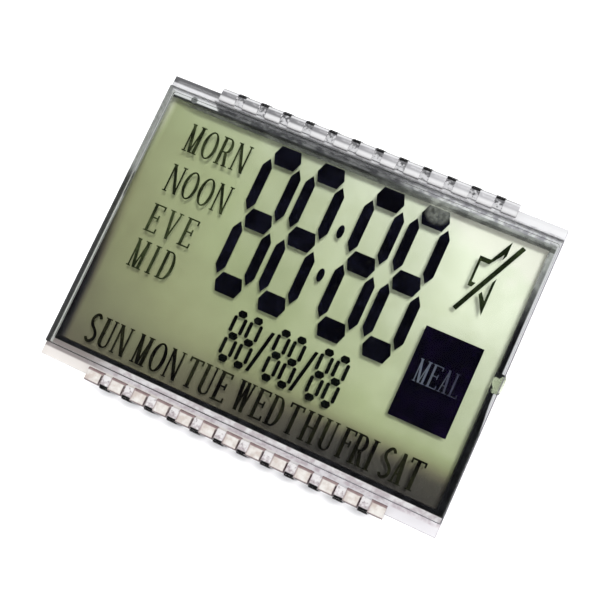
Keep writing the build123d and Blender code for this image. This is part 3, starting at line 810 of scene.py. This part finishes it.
# The top of a pillow in painted light and shade: a painted highlight in white with a
# grey bar of painted shade above, cream in a brown frame below
to_right = rise(tree, x, -12.0, 12.0)
soft_grey = mix_colours(tree, to_right, as_lit(138, 138, 140), as_lit(206, 206, 208))
grey_bar = times(tree, rise(tree, far, 15.3, 15.55), rise(tree, far, 16.02, 15.84))
upper_top = mix_colours(tree, grey_bar, as_lit(255, 255, 255), soft_grey)
creamy = rise(tree, ripple, 0.3, 0.7)
cream = mix_colours(tree, creamy, as_lit(232, 220, 210), as_lit(255, 252, 246))
brown = mix_colours(tree, ripple, as_lit(126, 100, 102), as_lit(186, 164, 162))
framed = either(tree, rise(tree, far, 15.22, 15.1), rise(tree, far, 16.08, 16.18))
by_prong = times(tree, rise(tree, from_prong, 0.66, 0.56), 0.6)
lower_top = mix_colours(tree, either(tree, framed, by_prong), cream, brown)
# Painted shade left of each prong, and a painted dark line along the outer edge.
left_of_prong = times(tree, rise(tree, beside, -0.7, -0.6), rise(tree, beside, -0.44, -0.5))
left_of_prong = times(tree, left_of_prong, rise(tree, far, 15.1, 15.3))
lower_top = mix_colours(tree, left_of_prong, lower_top, as_lit(58, 36, 42))
lower_top = mix_colours(tree, rise(tree, far, 16.16, 16.22), lower_top, as_lit(84, 66, 68))
top_colour = mix_colours(tree, lower_row, upper_top, lower_top)

# Its clearer sides, with painted shade where they turn away, and how much of each the
# painted layer covers
edge_on = add_node(tree, "ShaderNodeLayerWeight", {"Blend": 0.5, "Normal": wavy})
turned = edge_on.outputs["Facing"]
side_shade = rise(tree, turned, 0.08, 0.35)
side_colour = mix_colours(tree, side_shade, as_lit(250, 245, 240), as_lit(128, 108, 112))
edge_tint = mix_colours(tree, lower_row, (0.20, 0.20, 0.22, 1.0), (0.16, 0.09, 0.10, 1.0))
tinted = rise(tree, turned, 0.12, 0.5)
side_tint = mix_colours(tree, tinted, (0.97, 0.955, 0.96, 1.0), edge_tint)
see = seen_through(tree, mix_colours(tree, over_prong, side_tint, (0.99, 0.99, 0.99, 1.0)))
on_top = rise(tree, upright(tree), 0.05, 0.3)
resin_body = add_node(tree, "ShaderNodeBsdfDiffuse", {
    "Color": mix_colours(tree, on_top, side_colour, top_colour),
    "Roughness": 0.3,
})
painted_cover_upper = rise(tree, far, 16.0, 16.2, 0.82, 0.3)
painted_cover_lower = rise(tree, ripple, 0.3, 0.7, 0.75, 0.92)
painted_cover_top = mix_colours(tree, lower_row, painted_cover_upper, painted_cover_lower)
painted_cover_side = rise(tree, ripple, 0.3, 0.7, 0.12, 0.4)
painted_cover = mix_colours(tree, on_top, painted_cover_side, painted_cover_top)
painted_cover = times(tree, painted_cover, without(tree, over_prong))
body = laid_over(tree, painted_cover, see, resin_body)
shine = add_node(tree, "ShaderNodeBsdfGlossy", {
    "Color": white,
    "Roughness": 0.06,
    "Normal": wavy,
})
most_shine = mix_colours(tree, over_prong, (0.5, 0.5, 0.5, 1.0), (0.06, 0.06, 0.06, 1.0))
share = maths(tree, "MINIMUM", mirror_share(tree, 1.52, Normal=wavy), most_shine)
finish_material(tree, laid_over(tree, share, body, shine))
for bead, replaced in ((upper_bead, "upper_resin_bead"), (lower_bead, "lower_resin_bead")):
    wear(bead, resin_material)
    settle(bead, "clear_resin", replaced)


# Studio
# A plain pale floor under the pins, a soft sky that is brightest near the horizon, and
# one soft lamp beyond the upper edge of the writing, which throws the short shadow of
# each segment down onto the reflector.
bpy.ops.object.select_all(action="DESELECT")
bpy.ops.mesh.primitive_plane_add(size=3.0, location=(0, 0, 0))
floor = bpy.context.object
floor.name = "studio_floor"
floor_material, tree = new_material("pale_floor")
point, x, y, z = place(tree)
patches = noise(tree, point, 0.02)
shader = add_node(tree, "ShaderNodeBsdfPrincipled", {
    "Base Color": mix_colours(tree, patches, (0.90, 0.90, 0.90, 1.0), (0.93, 0.93, 0.93, 1.0)),
    "Roughness": 0.9,
    "Specular IOR Level": 0.0,
})
finish_material(tree, shader)
wear(floor, floor_material)

world = bpy.data.worlds.new("soft_sky")
bpy.context.scene.world = world
world.use_nodes = True
tree = world.node_tree
tree.nodes.clear()
direction = add_node(tree, "ShaderNodeTexCoord", {}).outputs["Generated"]
height = add_node(tree, "ShaderNodeSeparateXYZ", {0: direction}).outputs[2]
sky = ramp(tree, height, (
    (0.0, (0.85, 0.85, 0.86, 1.0)),
    (0.6, (0.85, 0.85, 0.87, 1.0)),
    (0.9, (0.12, 0.12, 0.13, 1.0)),
))
background = add_node(tree, "ShaderNodeBackground", {"Color": sky, "Strength": 1.85})
add_node(tree, "ShaderNodeOutputWorld", {"Surface": background.outputs[0]})

lamp_way = Vector((0.28, 0.16, 1.0)).normalized()
lamp_distance = 0.6
lamp = bpy.data.lights.new("soft_lamp", "AREA")
lamp.shape = "SQUARE"
lamp.size = 0.14
lamp.energy = 4.4
lamp_object = bpy.data.objects.new("soft_lamp", lamp)
bpy.context.scene.collection.objects.link(lamp_object)
lamp_turn = lamp_way.to_track_quat("Z", "Y").to_matrix().to_4x4()
lamp_object.matrix_world = Matrix.Translation(lamp_way * lamp_distance) @ lamp_turn
lamp_object.visible_glossy = False

# Camera: where it stands, from its turn and height about the point that it looks at
look_at = Vector((0.485, -0.538, 4.7)) * mm
turn = radians(-27.69)
climb = radians(75.88)
roll = radians(-38.16)
camera_distance = 105.6 * mm
back = Vector((cos(climb) * cos(turn), cos(climb) * sin(turn), sin(climb)))
level = Vector((0, 0, 1)).cross(back).normalized()
upward = back.cross(level)
right = cos(roll) * level + sin(roll) * upward
above = cos(roll) * upward - sin(roll) * level
camera = bpy.data.cameras.new("camera")
camera.sensor_width = 36
camera.lens = 65.25
camera.clip_start = 0.005
camera_object = bpy.data.objects.new("camera", camera)
camera_turn = Matrix((right, above, back)).transposed().to_4x4()
camera_object.matrix_world = Matrix.Translation(look_at + camera_distance * back) @ camera_turn
bpy.context.scene.collection.objects.link(camera_object)
bpy.context.scene.camera = camera_object
bpy.context.scene.view_settings.view_transform = "Standard"
bpy.context.scene.cycles.transparent_max_bounces = 40
bpy.context.scene.cycles.use_denoising = True
